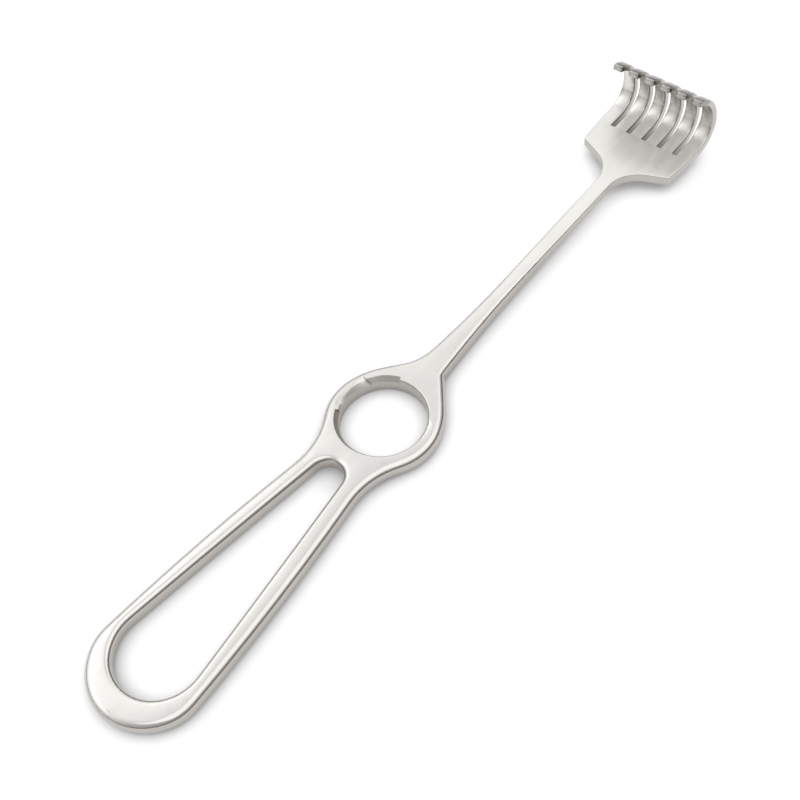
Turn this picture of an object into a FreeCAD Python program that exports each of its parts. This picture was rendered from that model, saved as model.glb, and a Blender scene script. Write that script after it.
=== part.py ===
import FreeCAD, Part
import math
import os

# Six-prong rake retractor, drop-forged and ground from one bar of stainless steel.
# Lengths are in millimetres. The tool lies along Y with its prongs at the +Y end, pointing up
# and back. Stations are Y distances from the centre of the finger ring, and the parting plane of
# the forging lies level at half the handle's thickness. The finished solid is moved at the end so
# that the origin is the middle of its footprint.

Vec = FreeCAD.Vector

# Handle: finger ring, neck and teardrop loop
handle_thickness = 4.9
flank_draft = 0.15            # how far each half of a forged flank draws in from the parting ridge
handle_edge_radius = 1.9      # soft outer shoulders of the ring and the loop
window_edge_radius = 1.4      # shoulders of the loop's window
ring_radius = 15.0
ring_hole_radius = 11.0
ring_hole_edge_radius = 0.55
neck_half_width = 9.2
neck_station = -19.5
loop_end_station = -93.8
loop_end_radius = 15.2
loop_corner_radius = 12.9
leg_radius = 600.0            # the legs bow out very slightly
leg_lean = 8.2                # degrees, lean of a leg where it leaves the neck
window_narrow_radius = 4.15
window_narrow_station = -20.55
window_end_station = -86.7
window_end_radius = 11.5
window_corner_radius = 10.8
window_leg_radius = 4000.0    # almost straight
window_lean = 7.3             # degrees
window_offset = -0.35         # the window sits a little off the axis, so the right leg is the wider
cheek_start = 19.7            # degrees, where the ring's outline eases out of its circle
cheek_radius = 22.0
ogive_angle = 41.0            # degrees, where it runs straight towards the shank
ogive_nose_radius = 3.0

# Reliefs ground by hand into the upper mouth of the ring hole. Each is a bite of a cone that sits
# off the ring's centre: it begins square and fades out on its way round.
relief_radius = 11.4          # of the ground cones at the ring's upper face
relief_depth = 1.5
far_relief_offset = 0.9
far_relief_direction = 120.0  # degrees from +X
far_relief_start = 108.5
near_relief_offset = 0.75
near_relief_direction = 206.0
near_relief_start = 206.0

# Flat ground beside them
flat_distance = 11.9          # from the ring's centre to the far edge of the flat
flat_slope = 32.0             # degrees below level
flat_start = -3.4
flat_length = 9.6

# Shank
shank_start = 12.7            # its root is buried in the solid part of the ring
shank_level_end = 24.0        # it leaves the ring level, then thins towards the blade
shank_half_width = 2.05
shank_taper_station = 54.5    # the sides run parallel from here to the blade
shank_taper_radius = 370.0
shank_root_radius = 7.0       # sweep of the right side into the ring
shank_root_inset = 1.0        # how deep that sweep is buried in the ring's flank
left_root_radius = 13.0       # the left side was ground rounder, and runs on almost without a crease
left_root_inset = 0.35
shank_root_edge_radius = 1.3  # the long edges are softest at the ring and crisp at the blade
profile_blend_radius = 150.0

# Blade: flat fan plate with two concave shoulders
blade_station = 96.0          # the plate is level from here
blade_top = 6.1
blade_thickness = 2.8
shoulder_station = 93.4
shoulder_radius = 9.5
shoulder_angle = 67.0         # degrees turned by each shoulder
blade_half_width = 13.85      # at the two back corners
prong_root_half_width = 14.65
blade_edge_radius = 0.3       # ground corners of the plate and of the prongs

# Prongs: bent up and back from the plate, and tapered to blunt tips
prong_count = 6
prong_pitch = 5.0
slot_root_station = 113.2
slot_root_width = 1.25
slot_root_corner = 0.3
slot_tip_width = 2.1
side_draw_in = 0.8            # how far the outer sides of the outermost prongs draw in at the tips
hook_inner_station = 124.45   # where the inner face of the prongs stands upright
inner_bend_radius = 5.9
inner_sweep_radius = 10.0
outer_bend_radius = 7.6
outer_sweep_radius = 13.1
knee_thickness = 2.15
hook_sweep = 75.0             # degrees turned past upright
tip_edge_radius = 0.5         # the blunt ends are rounded over

half_thickness = handle_thickness / 2
cheek_offset = cheek_radius - ring_radius
ogive_distance = cheek_radius - cheek_offset * math.cos(math.radians(ogive_angle - cheek_start))
blade_underside = blade_top - blade_thickness
spare = 10.0                  # how far a cutting tool reaches past the work


def polar(angle, length=1.0):
    """Plan vector at an angle in degrees from +X."""
    turn = math.radians(angle)
    return Vec(length * math.cos(turn), length * math.sin(turn), 0)


def angle_of(vector):
    return math.degrees(math.atan2(vector.y, vector.x))


def circles_meet(first, first_radius, second, second_radius):
    """The crossing of two plan circles that lies on the left of the line from first to second."""
    link = second - first
    gap = link.Length
    along = (gap ** 2 + first_radius ** 2 - second_radius ** 2) / (2 * gap)
    across = math.sqrt(first_radius ** 2 - along ** 2)
    unit = link / gap
    return first + unit * along + Vec(-unit.y, unit.x, 0) * across


def line_circle_meet(normal, distance, centre, radius):
    """Point at a distance along normal, and at a radius from centre, on the side nearer the axis."""
    rest = distance - normal.dot(centre)
    across = math.sqrt(radius ** 2 - rest ** 2)
    return centre + normal * rest + Vec(-normal.y, normal.x, 0) * across


# Plan outlines. Each stretch of a right-hand outline is an arc (centre, radius, from, to, side),
# where side is 1 if the material is inside the arc and -1 if it is outside. Straight stretches
# join the arcs, so that an inset outline is made of the same arcs about the same centres.

def arc_points(stretch, inset):
    centre, radius, start, end, side = stretch
    size = radius - side * inset
    return [centre + polar(angle, size) for angle in (start, (start + end) / 2, end)]


def outline(stretches, inset, level):
    """Closed wire, symmetric about the tool's axis, drawn in from the given outline."""
    right = [arc_points(stretch, inset) for stretch in stretches]
    left = [[Vec(-p.x, p.y, 0) for p in reversed(points)] for points in reversed(right)]
    edges = []
    arcs = right + left
    for index, points in enumerate(arcs):
        edges.append(Part.Arc(*points).toShape())
        following = arcs[(index + 1) % len(arcs)][0]
        if points[2].distanceToPoint(following) > 1e-6:
            edges.append(Part.LineSegment(points[2], following).toShape())
    wire = Part.Wire(edges)
    wire.translate(Vec(0, 0, level))
    return wire


def teardrop_end(leg_centre, leg_size, leg_start, end_station, end_radius, corner_radius):
    """Leg, corner and end arcs that close a teardrop outline at the handle's end."""
    end_centre = Vec(0, end_station + end_radius, 0)
    corner_centre = circles_meet(
        end_centre, end_radius - corner_radius, leg_centre, leg_size - corner_radius)
    leg_end = angle_of(corner_centre - leg_centre)
    corner_end = angle_of(corner_centre - end_centre)
    return [
        (leg_centre, leg_size, leg_start, leg_end, 1),
        (corner_centre, corner_radius, leg_end, corner_end, 1),
        (end_centre, end_radius, corner_end, -90.0, 1),
    ]


def handle_stretches():
    """Nose, cheek, ring, neck, leg and end of the handle's right-hand side."""
    nose_height = (ogive_distance - ogive_nose_radius) / math.sin(math.radians(ogive_angle))
    neck_radius = (neck_half_width ** 2 + neck_station ** 2 - ring_radius ** 2) / (
        2 * (ring_radius - neck_half_width))
    neck_centre = Vec(neck_half_width + neck_radius, neck_station, 0)
    ring_end = angle_of(neck_centre)
    leg_centre = neck_centre - polar(leg_lean, neck_radius + leg_radius)
    stretches = [
        (Vec(0, nose_height, 0), ogive_nose_radius, 90.0, ogive_angle, 1),
        (polar(cheek_start, -cheek_offset), cheek_radius, ogive_angle, cheek_start, 1),
        (Vec(), ring_radius, cheek_start, ring_end, 1),
        (neck_centre, neck_radius, ring_end + 180, leg_lean + 180, -1),
    ]
    return stretches + teardrop_end(
        leg_centre, leg_radius, leg_lean, loop_end_station, loop_end_radius, loop_corner_radius)


def window_stretches():
    """Narrow end, leg and wide end of the loop's window."""
    narrow_centre = Vec(0, window_narrow_station, 0)
    leg_centre = narrow_centre - polar(window_lean, window_leg_radius - window_narrow_radius)
    stretches = [(narrow_centre, window_narrow_radius, 90.0, window_lean, 1)]
    return stretches + teardrop_end(
        leg_centre, window_leg_radius, window_lean, window_end_station, window_end_radius,
        window_corner_radius)


def drafted(stretches, draft, reach=0.0):
    """Solid whose flanks draw in by draft (out, if negative) above and below the parting ridge."""
    slope = draft / half_thickness
    levels = (-reach, half_thickness, handle_thickness + reach)
    wires = [outline(stretches, slope * abs(level - half_thickness), level) for level in levels]
    return Part.makeLoft(wires, True, True)


def rim_edges(shape, wires):
    """Edges of shape that lie on any of the given wires."""
    found = []
    for edge in shape.Edges:
        middle = Part.Vertex(edge.valueAt((edge.FirstParameter + edge.LastParameter) / 2))
        if any(middle.distToShape(wire)[0] < 1e-4 for wire in wires):
            found.append(edge)
    return found


def make_handle():
    blank = drafted(handle_stretches(), flank_draft)
    rims = [outline(handle_stretches(), flank_draft, level) for level in (0, handle_thickness)]
    blank = blank.makeFillet(handle_edge_radius, rim_edges(blank, rims))

    window = drafted(window_stretches(), -flank_draft, 1.0)
    rims = [outline(window_stretches(), -flank_draft, level) for level in (0, handle_thickness)]
    for shape in [window] + rims:
        shape.translate(Vec(window_offset, 0, 0))
    blank = blank.cut(window)
    blank = blank.makeFillet(window_edge_radius, rim_edges(blank, rims))

    mouth_radius = ring_hole_radius + flank_draft
    lower = Part.makeCone(mouth_radius, ring_hole_radius, half_thickness)
    upper = Part.makeCone(ring_hole_radius, mouth_radius, half_thickness, Vec(0, 0, half_thickness))
    blank = blank.cut(lower).cut(upper)
    rims = [Part.makeCircle(mouth_radius, Vec(0, 0, level)) for level in (0, handle_thickness)]
    blank = blank.makeFillet(ring_hole_edge_radius, rim_edges(blank, rims))

    for relief in (make_relief(far_relief_offset, far_relief_direction, far_relief_start),
                   make_relief(near_relief_offset, near_relief_direction, near_relief_start),
                   make_flat()):
        blank = blank.cut(relief)
    return blank


def make_relief(offset, direction, start):
    """Cutter for one relief: the part of an off-centre cone that lies past its start."""
    foot = polar(direction, offset) + Vec(0, 0, handle_thickness - relief_depth)
    cone = Part.makeCone(relief_radius - relief_depth, relief_radius + spare,
                         relief_depth + spare, foot)
    reach = relief_radius + 2 * spare
    past = Part.makeBox(reach, reach, relief_depth + spare,
                        Vec(0, 0, handle_thickness - relief_depth))
    past.rotate(Vec(), Vec(0, 0, 1), start)
    return cone.common(past)


def make_flat():
    """Cutter for the flat, whose lower face slopes down into the hole."""
    block = Part.makeBox(spare, flat_length, spare)
    block.rotate(Vec(), Vec(0, 1, 0), flat_slope)
    block.translate(Vec(-flat_distance, flat_start, handle_thickness))
    return block


def rounded_path(corners):
    """Edges through corner points (point, radius), each corner turned by a tangent arc."""
    edges = []
    last = corners[0][0]
    for (before, _), (corner, radius), (after, _) in zip(corners, corners[1:], corners[2:]):
        back = (before - corner).normalize()
        ahead = (after - corner).normalize()
        half_turn = back.getAngle(ahead) / 2
        setback = radius / math.tan(half_turn)
        start = corner + back * setback
        end = corner + ahead * setback
        bisector = (back + ahead).normalize()
        middle = corner + bisector * (radius / math.sin(half_turn) - radius)
        edges.append(Part.LineSegment(last, start).toShape())
        edges.append(Part.Arc(start, middle, end).toShape())
        last = end
    edges.append(Part.LineSegment(last, corners[-1][0]).toShape())
    return edges


def mirrored(edges):
    return [edge.mirror(Vec(), Vec(1, 0, 0)) for edge in edges]


def plan_side(root_radius, root_inset):
    """Right-hand side of the plan from the buried root to past the prongs, and its two ends."""
    ogive = polar(ogive_angle)
    buried = ogive_distance - root_inset
    taper_centre = Vec(shank_half_width + shank_taper_radius, shank_taper_station, 0)
    root_centre = line_circle_meet(
        ogive, buried + root_radius, taper_centre, shank_taper_radius - root_radius)
    root_turn = angle_of(root_centre - taper_centre) % 360
    start = Vec((buried - ogive.y * shank_start) / ogive.x, shank_start, 0)
    root_low = root_centre - ogive * root_radius
    root_high = root_centre + polar(root_turn, root_radius)
    root_middle = root_centre + polar((root_turn + ogive_angle + 180) / 2, root_radius)
    taper_middle = taper_centre + polar((root_turn + 180) / 2, shank_taper_radius)
    taper_high = Vec(shank_half_width, shank_taper_station, 0)

    shoulder_centre = Vec(shank_half_width + shoulder_radius, shoulder_station, 0)
    shoulder_low = Vec(shank_half_width, shoulder_station, 0)
    shoulder_middle = shoulder_centre + polar(180 - shoulder_angle / 2, shoulder_radius)
    shoulder_high = shoulder_centre + polar(180 - shoulder_angle, shoulder_radius)
    rise = math.tan(math.radians(90 - shoulder_angle))
    corner = Vec(blade_half_width,
                 shoulder_high.y + (blade_half_width - shoulder_high.x) * rise, 0)

    # Each side of the blade flares from its back corner and runs straight where the prongs begin.
    bend_start = Vec(prong_root_half_width, hook_inner_station - inner_bend_radius, 0)
    flare = bend_start - corner
    side_radius = flare.dot(flare) / (2 * flare.x)
    side_turn = math.degrees(math.asin(flare.y / side_radius))
    side_centre = bend_start - Vec(side_radius, 0, 0)
    side_middle = side_centre + polar(-side_turn / 2, side_radius)
    far = Vec(prong_root_half_width, hook_inner_station + spare, 0)
    edges = [
        Part.LineSegment(start, root_low).toShape(),
        Part.Arc(root_low, root_middle, root_high).toShape(),
        Part.Arc(root_high, taper_middle, taper_high).toShape(),
        Part.LineSegment(taper_high, shoulder_low).toShape(),
        Part.Arc(shoulder_low, shoulder_middle, shoulder_high).toShape(),
        Part.LineSegment(shoulder_high, corner).toShape(),
        Part.Arc(corner, side_middle, bend_start).toShape(),
        Part.LineSegment(bend_start, far).toShape(),
    ]
    return edges, start, far


def plan_of_shank_and_blade():
    """Closed plan outline from the buried root to past the prongs."""
    right, right_start, right_far = plan_side(shank_root_radius, shank_root_inset)
    left, left_start, left_far = plan_side(left_root_radius, left_root_inset)
    caps = [
        Part.LineSegment(Vec(-left_start.x, left_start.y, 0), right_start).toShape(),
        Part.LineSegment(Vec(-left_far.x, left_far.y, 0), right_far).toShape(),
    ]
    return Part.Wire(Part.__sortEdges__(right + mirrored(left) + caps))


def turned_arc(centre, radius, start, end):
    """Arc in the side view, with angles in degrees from +Y towards +Z, and its two ends."""
    points = []
    for angle in (start, (start + end) / 2, end):
        turn = math.radians(angle)
        points.append(centre + Vec(0, radius * math.cos(turn), radius * math.sin(turn)))
    return Part.Arc(*points).toShape(), points[0], points[2]


def hook_centres():
    """Centres of the inner and outer bends, then of the inner and outer sweeps."""
    outer_station = hook_inner_station + knee_thickness
    inner_low = Vec(0, hook_inner_station - inner_bend_radius, blade_top + inner_bend_radius)
    outer_low = Vec(0, outer_station - outer_bend_radius, blade_underside + outer_bend_radius)
    inner_high = Vec(0, hook_inner_station - inner_sweep_radius, inner_low.z)
    outer_high = Vec(0, outer_station - outer_sweep_radius, outer_low.z)
    return inner_low, outer_low, inner_high, outer_high


def tip_corner():
    """Outer corner of the blunt end, which is ground square to the prong's inner face."""
    _, _, inner_high, outer_high = hook_centres()
    turn = math.radians(hook_sweep)
    ray = Vec(0, math.cos(turn), math.sin(turn))
    link = inner_high - outer_high
    along = link.dot(ray)
    return inner_high + ray * (
        math.sqrt(along ** 2 - link.dot(link) + outer_sweep_radius ** 2) - along)


def side_of_shank_and_blade():
    """Closed side profile: level root, thinning shank, level plate and the hook of the prongs."""
    inner_low, outer_low, inner_high, outer_high = hook_centres()
    tip_end = tip_corner()
    outward = tip_end - outer_high
    outer_sweep = math.degrees(math.atan2(outward.z, outward.y))

    outer_bend, outer_start, _ = turned_arc(outer_low, outer_bend_radius, -90, 0)
    outer_arc, _, _ = turned_arc(outer_high, outer_sweep_radius, 0, outer_sweep)
    inner_arc, _, inner_end = turned_arc(inner_high, inner_sweep_radius, 0, hook_sweep)
    inner_bend, inner_start, _ = turned_arc(inner_low, inner_bend_radius, -90, 0)
    below = rounded_path([
        (Vec(0, shank_start, 0), 0),
        (Vec(0, shank_level_end, 0), profile_blend_radius),
        (Vec(0, blade_station, blade_underside), profile_blend_radius),
        (outer_start, 0),
    ])
    above = rounded_path([
        (Vec(0, shank_start, handle_thickness), 0),
        (Vec(0, shank_level_end, handle_thickness), profile_blend_radius),
        (Vec(0, blade_station, blade_top), profile_blend_radius),
        (inner_start, 0),
    ])
    back = Part.LineSegment(Vec(0, shank_start, 0), Vec(0, shank_start, handle_thickness))
    tip = Part.LineSegment(inner_end, tip_end)
    edges = below + above + [outer_bend, outer_arc, inner_arc, inner_bend]
    return Part.Wire(Part.__sortEdges__(edges + [back.toShape(), tip.toShape()]))


def tip_level():
    return blade_top + inner_bend_radius + inner_sweep_radius


def make_slot(centre_x):
    """Cutter for one slot: it widens upwards, so that the prongs taper to their tips."""
    slope = (slot_tip_width - slot_root_width) / 2 / (tip_level() - blade_top)
    low = blade_underside - spare / 10
    high = tip_level() + spare
    corners = []
    for level, side in ((low, -1), (high, -1), (high, 1), (low, 1), (low, -1)):
        half_width = slot_root_width / 2 + slope * (level - blade_top)
        corners.append(Vec(centre_x + side * half_width, slot_root_station, level))
    face = Part.Face(Part.makePolygon(corners))
    cutter = face.extrude(Vec(0, hook_inner_station - slot_root_station + spare, 0))
    root_corners = [
        edge for edge in cutter.Edges
        if all(abs(v.Y - slot_root_station) < 1e-6 for v in edge.Vertexes)
        and abs(edge.Vertexes[0].Z - edge.Vertexes[1].Z) > handle_thickness]
    return cutter.makeFillet(slot_root_corner, root_corners)


def make_side_trim(side):
    """Cutter that tapers the outer side of an outermost prong."""
    rise = tip_level() - blade_top
    radius = (rise ** 2 + side_draw_in ** 2) / (2 * side_draw_in)
    length = hook_inner_station - slot_root_station + spare
    centre = Vec(side * (prong_root_half_width - radius), slot_root_station, blade_top)
    kept = Part.makeCylinder(radius, length, centre, Vec(0, 1, 0))
    block = Part.makeBox(spare, length, rise + spare)
    block.translate(Vec(prong_root_half_width - spare / 2, slot_root_station, blade_top))
    if side < 0:
        block = block.mirror(Vec(), Vec(1, 0, 0))
    return block.cut(kept)


def make_shank_and_blade():
    plan = Part.Face(plan_of_shank_and_blade())
    side = Part.Face(side_of_shank_and_blade())
    half_width = prong_root_half_width + spare
    plan_solid = plan.extrude(Vec(0, 0, tip_level() + 2 * spare))
    plan_solid.translate(Vec(0, 0, -spare))
    side_solid = side.extrude(Vec(2 * half_width, 0, 0))
    side_solid.translate(Vec(-half_width, 0, 0))
    body = plan_solid.common(side_solid)
    for index in range(prong_count - 1):
        body = body.cut(make_slot((index - (prong_count - 2) / 2) * prong_pitch))
    for side_sign in (-1, 1):
        body = body.cut(make_side_trim(side_sign))
    return rounded_edges(body)


def middle_of(edge):
    return edge.valueAt((edge.FirstParameter + edge.LastParameter) / 2)


def is_corner(body, edge):
    """True where the two faces beside an edge meet at an angle."""
    middle = middle_of(edge)
    normals = [face.normalAt(*face.Surface.parameter(middle))
               for face in body.ancestorsOfType(edge, Part.Face)]
    return math.degrees(normals[0].getAngle(normals[1])) > 20


def long_edge_radius(station):
    """Rounding of the shank's long edges: soft at the ring, crisp where the blade begins."""
    way = (station - shank_level_end) / (shoulder_station - shank_level_end)
    way = min(max(way, 0.0), 1.0)
    return shank_root_edge_radius + (blade_edge_radius - shank_root_edge_radius) * way


def rounded_edges(body):
    """Round every corner of the shank, the blade and the prongs."""
    root = [edge for edge in body.Edges if abs(middle_of(edge).y - shank_start) < 1e-6]
    central = [edge for edge in body.Edges if abs(middle_of(edge).x) < 1e-6
               and middle_of(edge).y < shoulder_station]
    corners = [(index, edge) for index, edge in enumerate(body.Edges, 1)
               if is_corner(body, edge) and not any(edge.isSame(e) for e in root + central)]
    tip = tip_corner()
    tip_thickness = tip.distanceToPoint(hook_centres()[2]) - inner_sweep_radius
    tip_rounding = min(tip_edge_radius, 0.4 * tip_thickness)
    runs = {}
    sizes = []
    for index, edge in corners:
        middle = middle_of(edge)
        ends = [edge.valueAt(edge.FirstParameter).y, edge.valueAt(edge.LastParameter).y]
        if max(ends) > shoulder_station + spare / 10:
            at_tip = middle.z > blade_top + inner_bend_radius and max(ends) < tip.y + 1e-6
            radius = tip_rounding if at_tip else blade_edge_radius
            sizes.append((index, radius, radius))
            continue
        # All the edges of one run are given in the direction of its first edge.
        run = (middle.x > 0, middle.z > half_thickness)
        rising = runs.setdefault(run, ends[1] > ends[0])
        low, high = sorted(ends, reverse=not rising)
        sizes.append((index, long_edge_radius(low), long_edge_radius(high)))

    document = FreeCAD.newDocument("Stem")
    sharp = document.addObject("Part::Feature", "Sharp")
    sharp.Shape = body
    rounded = document.addObject("Part::Fillet", "Rounded")
    rounded.Base = sharp
    rounded.Edges = sizes
    document.recompute()
    return rounded.Shape.Solids[0]


handle = make_handle()
stem = make_shank_and_blade()
retractor = handle.fuse(stem).removeSplitter()

box = retractor.optimalBoundingBox(False)
retractor.translate(Vec(-box.Center.x, -box.Center.y, -box.ZMin))

os.makedirs("parts", exist_ok=True)
retractor.exportStep("parts/retractor.step")
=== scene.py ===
import math

import bmesh
import bpy
from mathutils import Matrix, Vector

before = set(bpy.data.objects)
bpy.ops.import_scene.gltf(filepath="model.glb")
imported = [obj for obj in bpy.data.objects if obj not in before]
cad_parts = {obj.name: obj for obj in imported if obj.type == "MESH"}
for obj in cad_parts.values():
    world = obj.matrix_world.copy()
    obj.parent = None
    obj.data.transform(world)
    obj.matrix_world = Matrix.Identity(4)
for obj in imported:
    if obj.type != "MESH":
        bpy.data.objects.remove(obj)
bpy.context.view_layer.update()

# The camera
# It looks down on the instrument from the right of the handle, about as steeply as one looks at a
# tray on a table, and is slightly rolled. Its place comes from the instrument's outline. Lengths
# are in metres, here and in every section.
CAMERA_TURN = math.radians(48.062)      # round the upright, from straight behind the handle
CAMERA_HEIGHT = math.radians(55.799)    # angle above the table
CAMERA_ROLL = math.radians(-9.841)
CAMERA_DISTANCE = 0.28988
CAMERA_TARGET = Vector((-0.00176, -0.00828, 0.00072))
CAMERA_LENS = 52.23                     # millimetres
SENSOR_WIDTH = 36.0                     # millimetres
NEAREST_SEEN = 0.01
FARTHEST_SEEN = 20.0

backward = Vector((math.sin(CAMERA_TURN) * math.cos(CAMERA_HEIGHT),
                   -math.cos(CAMERA_TURN) * math.cos(CAMERA_HEIGHT),
                   math.sin(CAMERA_HEIGHT)))
level_right = Vector((math.cos(CAMERA_TURN), math.sin(CAMERA_TURN), 0.0))
level_up = backward.cross(level_right)
right = level_right * math.cos(CAMERA_ROLL) + level_up * math.sin(CAMERA_ROLL)
up = level_up * math.cos(CAMERA_ROLL) - level_right * math.sin(CAMERA_ROLL)
camera_data = bpy.data.cameras.new("camera")
camera_data.lens = CAMERA_LENS
camera_data.sensor_width = SENSOR_WIDTH
camera_data.clip_start = NEAREST_SEEN
camera_data.clip_end = FARTHEST_SEEN
camera = bpy.data.objects.new("camera", camera_data)
camera.matrix_world = (Matrix.Translation(CAMERA_TARGET + backward * CAMERA_DISTANCE)
                       @ Matrix((right, up, backward)).transposed().to_4x4())
bpy.context.scene.collection.objects.link(camera)
bpy.context.scene.camera = camera


# The retractor
# One forging of surgical stainless steel, ground to shape, bead blasted to a satin and polished
# along its rounded corners. The reliefs at the finger hole are left rougher, as the wheel ground
# them. Its colour holds painted shade, darker on the flanks, in the openings and on the reliefs
# than on the faces that look up, and it is darker at the ends of the prongs.
def linear(hex_colour):
    """Linear RGBA of an sRGB hex value, by the sRGB standard's curve."""
    channels = [int(hex_colour[i:i + 2], 16) / 255 for i in (0, 2, 4)]
    return [c / 12.92 if c <= 0.04045 else ((c + 0.055) / 1.055) ** 2.4 for c in channels] + [1.0]


def add_node(tree, kind, inputs=None, **settings):
    """A node of that kind. An input is wired where given a socket and set where given a value."""
    node = tree.nodes.new(kind)
    for name, value in settings.items():
        setattr(node, name, value)
    for name, value in (inputs or {}).items():
        if isinstance(value, bpy.types.NodeSocket):
            tree.links.new(value, node.inputs[name])
        else:
            node.inputs[name].default_value = value
    return node


# Painted shade: the steel gets the first colour below on the faces that look up and on the faces
# of the blade, and the darker second one on the flanks, the slot walls, inside the openings and on
# the reliefs, standing in for the dimmer light that they mirror.
FACE_COLOUR = "E4E2DE"
PAINTED_SHADE_COLOUR = "BEBAB5"      # also inside the openings
SATIN_ROUGHNESS = 0.28       # on the handle and the shank
BLADE_ROUGHNESS = 0.33       # on the blade and the prongs
GROUND_ROUGHNESS = 0.45      # on the reliefs of the finger hole
POLISHED_ROUGHNESS = 0.20    # along the rounded corners

BLADE_START = 0.078          # along the instrument
BLADE_BLEND = 0.004          # each side of it, where one finish runs into the other
TIP_START = 0.0198           # above the table
TIP_BLEND = 0.0012           # up from there
TIP_SHADE = 0.62             # of the colour, at the ends of the prongs
HOLE_CENTRE = (0.0, -0.0164, 0.0)
HOLE_RELIEF = 0.0130         # from the centre, ground within and polished outside

# How much of the direction that a surface faces is upright, 1 on a level one, or sideways.
CORNER_STARTS = 0.985        # upright, as the next three are
CORNER_FULL = 0.87
FACE_STARTS = 0.5
FACE_FULL = 0.9
SIDE_STARTS = 0.03           # sideways, as the next is
SIDE_FULL = 0.15

STREAK_WIDTH = 0.0030        # across the instrument
STREAK_LENGTH = 0.014        # along the instrument
STREAK_SHADE = 0.94          # of the colour, in the darkest streaks
STREAK_DARKEST = 0.3         # values of the noise between which the streaks run
STREAK_PALEST = 0.7
BLAST_GRAIN = 0.00035        # coarser than the marks of real beads, so that it shows
BLAST_DEPTH = 0.00005
BLAST_STRENGTH = 0.03

# Satin stainless steel. To the eye it is a pale, slightly warm grey that mirrors the room in broad
# soft patches, with a sharper bright line along each corner and faint streaks along its length.
# Painted shade makes it darker on the flanks, in the openings and on the reliefs.
steel = bpy.data.materials.new("satin_stainless_steel")
steel.use_nodes = True
tree = steel.node_tree
shader = tree.nodes["Principled BSDF"]
shader.inputs["Metallic"].default_value = 1.0
place = add_node(tree, "ShaderNodeTexCoord")
at = add_node(tree, "ShaderNodeSeparateXYZ", {"Vector": place.outputs["Object"]})
facing = add_node(tree, "ShaderNodeSeparateXYZ", {"Vector": place.outputs["Normal"]})
upright = add_node(tree, "ShaderNodeMath", {0: facing.outputs["Z"]}, operation="ABSOLUTE")
sideways = add_node(tree, "ShaderNodeMath", {0: facing.outputs["X"]}, operation="ABSOLUTE")
reach = add_node(tree, "ShaderNodeVectorMath", {0: place.outputs["Object"], 1: HOLE_CENTRE},
                 operation="DISTANCE")
hole = add_node(tree, "ShaderNodeMath", {0: reach.outputs["Value"], 1: HOLE_RELIEF},
                operation="LESS_THAN")

# Each area has a value that is 1 in it and 0 or less outside it. The first five are read from the
# place of a point or the way that the surface faces there, and the others are made from those.
area = {"hole": hole.outputs[0]}
for name, measure, outside, inside in (
        ("blade", at.outputs["Y"], BLADE_START - BLADE_BLEND, BLADE_START + BLADE_BLEND),
        ("corner", upright.outputs[0], CORNER_STARTS, CORNER_FULL),
        ("face", upright.outputs[0], FACE_STARTS, FACE_FULL),
        ("side", sideways.outputs[0], SIDE_STARTS, SIDE_FULL)):
    area[name] = add_node(tree, "ShaderNodeMapRange",
                          {"Value": measure, "From Min": outside, "From Max": inside},
                          interpolation_type="SMOOTHSTEP").outputs[0]
for name, operation, first, second in (
        ("ground relief", "MULTIPLY", "corner", "hole"),
        ("lit upper face", "SUBTRACT", "face", "ground relief"),
        ("blade face", "SUBTRACT", "blade", "side"),
        ("painted lit area", "MAXIMUM", "lit upper face", "blade face"),
        ("rounded corner", "SUBTRACT", "corner", "ground relief"),
        ("polished corner", "MULTIPLY", "rounded corner", "side")):
    area[name] = add_node(tree, "ShaderNodeMath", {0: area[first], 1: area[second]},
                          operation=operation).outputs[0]

# Painted shade: the paler colour on the lit areas, the darker one everywhere else.
colour = add_node(tree, "ShaderNodeMix",
                  {"Factor": area["painted lit area"], "A": linear(PAINTED_SHADE_COLOUR),
                   "B": linear(FACE_COLOUR)}, data_type="RGBA")
streak_place = add_node(tree, "ShaderNodeMapping",
                        {"Vector": place.outputs["Object"],
                         "Scale": (1 / STREAK_WIDTH, 1 / STREAK_LENGTH, 1 / STREAK_WIDTH)})
streaks = add_node(tree, "ShaderNodeTexNoise",
                   {"Vector": streak_place.outputs[0], "Scale": 1.0, "Detail": 2.0})
streak_shade = add_node(tree, "ShaderNodeMapRange",
                        {"Value": streaks.outputs["Fac"], "From Min": STREAK_DARKEST,
                         "From Max": STREAK_PALEST, "To Min": STREAK_SHADE, "To Max": 1.0})
tip_shade = add_node(tree, "ShaderNodeMapRange",
                     {"Value": at.outputs["Z"], "From Min": TIP_START,
                      "From Max": TIP_START + TIP_BLEND, "To Min": 1.0, "To Max": TIP_SHADE},
                     interpolation_type="SMOOTHSTEP")
shade = add_node(tree, "ShaderNodeMath", {0: streak_shade.outputs[0], 1: tip_shade.outputs[0]},
                 operation="MULTIPLY")
shaded = add_node(tree, "ShaderNodeVectorMath",
                  {0: colour.outputs["Result"], "Scale": shade.outputs[0]}, operation="SCALE")
tree.links.new(shaded.outputs[0], shader.inputs["Base Color"])

satin = add_node(tree, "ShaderNodeMapRange",
                 {"Value": area["blade"], "To Min": SATIN_ROUGHNESS, "To Max": BLADE_ROUGHNESS})
ground_satin = add_node(tree, "ShaderNodeMapRange",
                        {"Value": area["ground relief"], "To Min": satin.outputs[0],
                         "To Max": GROUND_ROUGHNESS})
finish = add_node(tree, "ShaderNodeMapRange",
                  {"Value": area["polished corner"], "To Min": ground_satin.outputs[0],
                   "To Max": POLISHED_ROUGHNESS})
tree.links.new(finish.outputs[0], shader.inputs["Roughness"])

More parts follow.
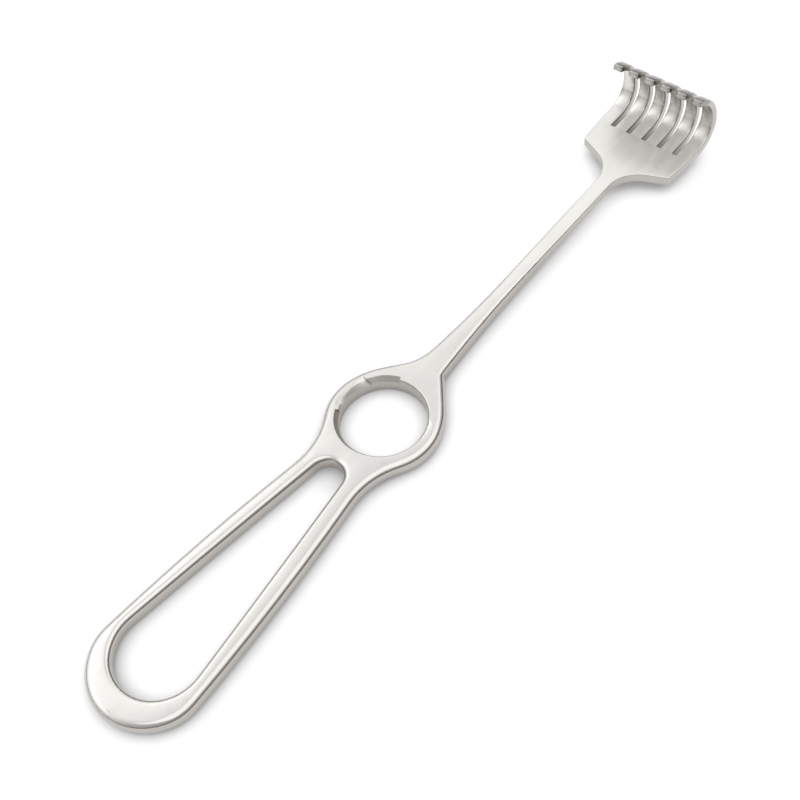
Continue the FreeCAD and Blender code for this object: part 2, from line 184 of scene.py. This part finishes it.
grain = add_node(tree, "ShaderNodeTexNoise",
                 {"Vector": place.outputs["Object"], "Scale": 1 / BLAST_GRAIN, "Detail": 3.0})
blasted = add_node(tree, "ShaderNodeBump",
                   {"Height": grain.outputs["Fac"], "Strength": BLAST_STRENGTH,
                    "Distance": BLAST_DEPTH})
tree.links.new(blasted.outputs["Normal"], shader.inputs["Normal"])

# The mesh comes as loose triangles. Joined, they shade as smooth curves, and the true edges, which
# turn more than EDGE_TURN, are opened again to stay crisp.
JOIN_DISTANCE = 0.000001
EDGE_TURN = math.radians(32)

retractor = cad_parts["retractor"]
retractor.data.materials.clear()
retractor.data.materials.append(steel)
for polygon in retractor.data.polygons:
    polygon.use_smooth = True
weld = retractor.modifiers.new("weld", "WELD")
weld.merge_threshold = JOIN_DISTANCE
edges = retractor.modifiers.new("edges", "EDGE_SPLIT")
edges.split_angle = EDGE_TURN

# The table
# A sheet of plain white paper, laid flat and far wider than the view. The instrument lies on it,
# on the underside of its handle.
TABLE_SIZE = 6.0
TABLE_CLEARANCE = 0.00002    # under the handle, so that the two don't flicker
PAPER_COLOUR = "989898"      # what it scatters on to the steel
PAPER_GLOW = 0.76
SHADOW_GLOW = 0.22
SHADOW_REACH = 0.007         # how far from a point the steel can shade it
SHADOW_DEEPEST = 0.35        # share of the surroundings that a point of the paper sees
SHADOW_ENDS = 0.8

shape = bmesh.new()
bmesh.ops.create_grid(shape, x_segments=1, y_segments=1, size=TABLE_SIZE / 2,
                      matrix=Matrix.Translation((0.0, 0.0, -TABLE_CLEARANCE)))
table_mesh = bpy.data.meshes.new("table")
shape.to_mesh(table_mesh)
shape.free()
table = bpy.data.objects.new("table", table_mesh)
bpy.context.scene.collection.objects.link(table)

# Matte white paper. To the eye and in the steel it is white all over, as under studio light, with
# a soft grey shadow close round the instrument. The glow only shows where it is seen or mirrored.
# The shadow is partly cast on the matte paper and partly painted, by dimming the glow where the
# steel closes in round a point.
paper = bpy.data.materials.new("white_paper")
paper.use_nodes = True
tree = paper.node_tree
tree.nodes.clear()
ray = add_node(tree, "ShaderNodeLightPath")
direct_or_mirrored = add_node(tree, "ShaderNodeMath",
                              {0: ray.outputs["Is Camera Ray"], 1: ray.outputs["Is Glossy Ray"]},
                              operation="MAXIMUM")
seen = add_node(tree, "ShaderNodeMath",
                {0: direct_or_mirrored.outputs[0], 1: ray.outputs["Is Transmission Ray"]},
                operation="MAXIMUM")
# Painted shadow: the glow is dimmed where the steel hides much of the surroundings of a point.
surroundings = add_node(tree, "ShaderNodeAmbientOcclusion", {"Distance": SHADOW_REACH})
open_glow = add_node(tree, "ShaderNodeMapRange",
                     {"Value": surroundings.outputs["AO"], "From Min": SHADOW_DEEPEST,
                      "From Max": SHADOW_ENDS, "To Min": SHADOW_GLOW, "To Max": PAPER_GLOW})
glow = add_node(tree, "ShaderNodeMath", {0: seen.outputs[0], 1: open_glow.outputs[0]},
                operation="MULTIPLY")
matte = add_node(tree, "ShaderNodeBsdfDiffuse", {"Color": linear(PAPER_COLOUR)})
glowing = add_node(tree, "ShaderNodeEmission", {"Strength": glow.outputs[0]})
both = add_node(tree, "ShaderNodeAddShader", {0: matte.outputs[0], 1: glowing.outputs[0]})
add_node(tree, "ShaderNodeOutputMaterial", {"Surface": both.outputs[0]})
table_mesh.materials.append(paper)

# The light
# A white room that is pale on the left and dimmer on the right, with three wide soft lamps that
# hang level: two high over the left, and a broad one high over the right, which puts the bright
# band on the right-hand shoulders.
LEFT_LEVEL = 0.95
RIGHT_LEVEL = 0.50
LEFT_ENDS = -0.6             # sideways part of a direction, -1 straight to the left
RIGHT_STARTS = 0.2
WHITE = (1.0, 1.0, 1.0, 1.0)

room = bpy.data.worlds.new("room")
room.use_nodes = True
tree = room.node_tree
walls = tree.nodes["Background"]
walls.inputs["Color"].default_value = WHITE
direction = add_node(tree, "ShaderNodeTexCoord")
towards = add_node(tree, "ShaderNodeSeparateXYZ", {"Vector": direction.outputs["Generated"]})
level = add_node(tree, "ShaderNodeMapRange",
                 {"Value": towards.outputs["X"], "From Min": LEFT_ENDS, "From Max": RIGHT_STARTS,
                  "To Min": LEFT_LEVEL, "To Max": RIGHT_LEVEL},
                 interpolation_type="SMOOTHSTEP")
ray = add_node(tree, "ShaderNodeLightPath")
strength = add_node(tree, "ShaderNodeMath",
                    {0: level.outputs[0], 1: ray.outputs["Is Camera Ray"]},
                    operation="MAXIMUM")
tree.links.new(strength.outputs[0], walls.inputs["Strength"])
bpy.context.scene.world = room

for name, middle, width, length, brightness in (
        ("lamp_over_handle", (-0.58, -0.33, 0.70), 0.42, 1.12, 0.78),
        ("lamp_over_blade", (-0.32, 0.68, 0.70), 0.55, 0.60, 0.42),
        ("lamp_right", (0.42, 0.15, 0.72), 0.95, 1.50, 0.75)):
    lamp_data = bpy.data.lights.new(name, "AREA")
    lamp_data.shape = "RECTANGLE"
    lamp_data.size = width
    lamp_data.size_y = length
    lamp_data.energy = brightness * math.pi * width * length
    lamp = bpy.data.objects.new(name, lamp_data)
    lamp.location = middle
    lamp.visible_camera = False
    bpy.context.scene.collection.objects.link(lamp)

# The dark cards
# A low ring of dark card that stands on the table, out of the camera's sight, and gives the steel
# its dark edges. It is lowest beyond the loop of the handle, where the prongs' inner faces look.
CARD_RADIUS = 0.9
CARD_HEIGHT = 0.20
CARD_RISE = 0.08             # above that at its highest, and below it at its lowest
CARD_HIGHEST = math.radians(65)
CARD_CORNERS = 48
CARD_COLOUR = "6C6259"
CARD_ROUGHNESS = 0.9

highest = Vector((math.cos(CARD_HIGHEST), math.sin(CARD_HIGHEST), 0.0))
shape = bmesh.new()
bmesh.ops.create_circle(shape, segments=CARD_CORNERS, radius=CARD_RADIUS)
raised = bmesh.ops.extrude_edge_only(shape, edges=shape.edges[:])["geom"]
for corner in raised:
    if isinstance(corner, bmesh.types.BMVert):
        corner.co.z = CARD_HEIGHT + CARD_RISE * corner.co.dot(highest) / CARD_RADIUS
cards_mesh = bpy.data.meshes.new("cards")
shape.to_mesh(cards_mesh)
shape.free()
cards = bpy.data.objects.new("cards", cards_mesh)
bpy.context.scene.collection.objects.link(cards)

# Uncoated card. To the eye it is a flat warm dark grey without any gloss.
card = bpy.data.materials.new("dark_card")
card.use_nodes = True
card_shader = card.node_tree.nodes["Principled BSDF"]
card_shader.inputs["Base Color"].default_value = linear(CARD_COLOUR)
card_shader.inputs["Roughness"].default_value = CARD_ROUGHNESS
cards_mesh.materials.append(card)
cards.visible_camera = False
cards.visible_shadow = False

bpy.context.scene.view_settings.view_transform = "Standard"
